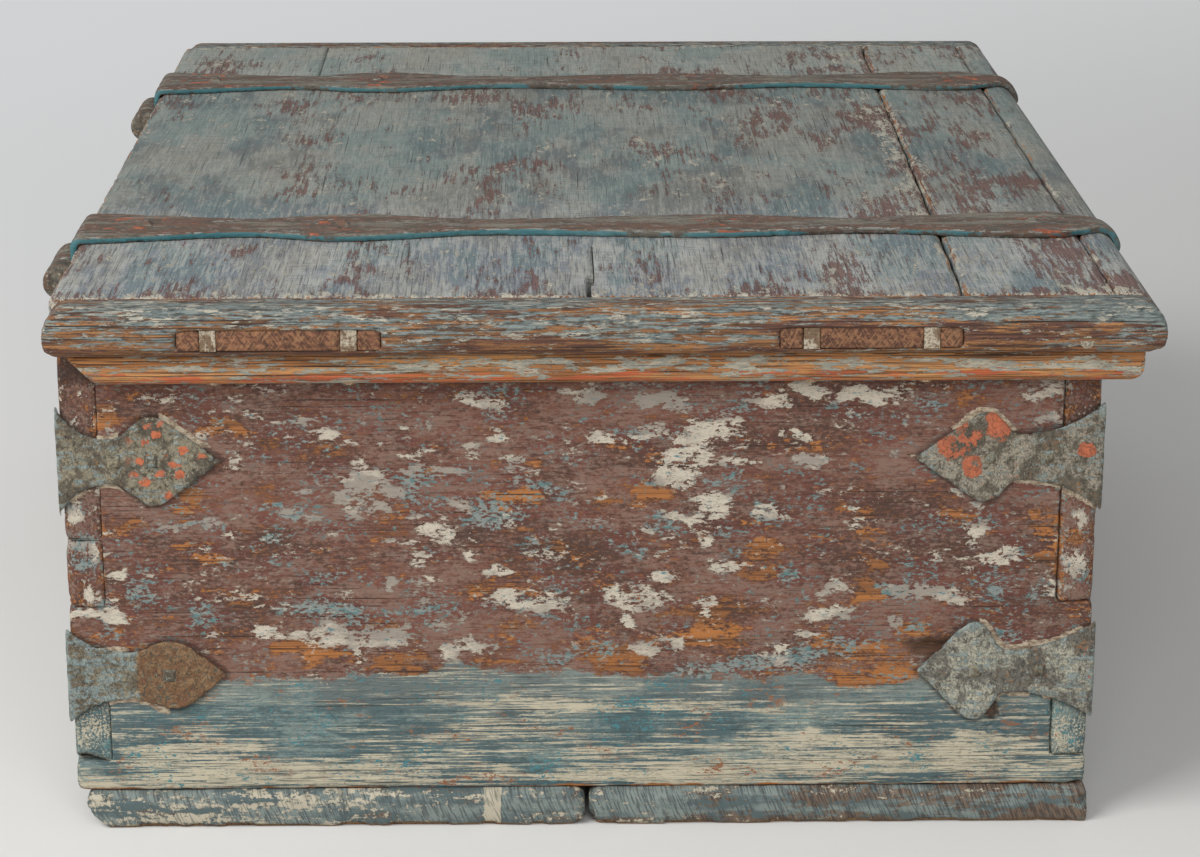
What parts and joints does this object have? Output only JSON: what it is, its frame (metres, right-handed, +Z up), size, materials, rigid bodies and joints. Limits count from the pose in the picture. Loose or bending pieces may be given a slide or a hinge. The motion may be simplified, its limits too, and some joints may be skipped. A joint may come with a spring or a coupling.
{
  "type": "blanket chest",
  "caption": "Low dovetailed pine chest with a cleat-ended lid on iron strap hinges, leaf-shaped corner irons, a nailed bottom and a box lock.",
  "frame": {"origin": "on the floor plane, at the centre of the box's footprint", "axes": "+X along the chest to the right as seen from the front, the front faces -Y and the hinges are at +Y, +Z up"},
  "size_m": [0.734, 0.5836, 0.2917],
  "materials": {
    "painted_wood": "worn red-brown paint over cream and blue-grey coats on pine",
    "painted_lid_wood": "worn blue-grey paint over cream and red-brown on pine",
    "worn_moulding": "bare worn pine with traces of paint",
    "bare_wood": "bare weathered pine",
    "peg_wood": "bare hardwood end grain",
    "painted_iron": "forged iron with worn blue-grey paint, red primer and rust",
    "forged_iron": "dark forged iron with light rust"
  },
  "bodies": {
    "chest": {"left_end_board": "painted_wood", "right_end_board": "painted_wood", "front_board": "painted_wood", "back_upper_board": "painted_wood", "back_lower_board": "painted_wood", "bottom_front_board": "bare_wood", "bottom_back_board": "bare_wood", "left_back_leaf": "painted_iron", "right_back_leaf": "painted_iron", "left_hinge_pin": "forged_iron", "right_hinge_pin": "forged_iron", "left_front_upper_iron": "painted_iron", "left_front_lower_iron": "painted_iron", "left_back_upper_iron": "painted_iron", "left_back_lower_iron": "painted_iron", "right_front_upper_iron": "painted_iron", "right_front_lower_iron": "painted_iron", "right_back_upper_iron": "painted_iron", "right_back_lower_iron": "painted_iron", "corner_iron_nails": "forged_iron", "back_leaf_nails": "forged_iron", "bottom_nails": "forged_iron", "lock_case": "forged_iron", "lock_nails": "forged_iron"},
    "lid": {"lid_main_board": "painted_lid_wood", "lid_front_board": "painted_lid_wood", "lid_front_strip": "painted_lid_wood", "left_cleat": "painted_lid_wood", "right_cleat": "painted_lid_wood", "left_skirt": "worn_moulding", "right_skirt": "worn_moulding", "front_skirt": "worn_moulding", "left_lid_strap": "painted_iron", "right_lid_strap": "painted_iron", "lid_strap_nails": "forged_iron", "skirt_pegs": "peg_wood", "cleat_pegs": "peg_wood", "tenon_wedges": "peg_wood", "lid_staple": "forged_iron", "staple_nails": "forged_iron"},
    "lock_bolt": {"lock_bolt": "forged_iron"}
  },
  "joints": [
    {"name": "lid_hinge", "type": "hinge", "parent": "chest", "child": "lid", "pos_m": [0, 0.2781, 0.264], "axis": [-1, 0, 0], "range_deg": [0, 105]},
    {"name": "bolt_slide", "type": "slide", "parent": "chest", "child": "lock_bolt", "axis": [1, 0, 0], "range_m": [0, 0.014]}
  ]
}
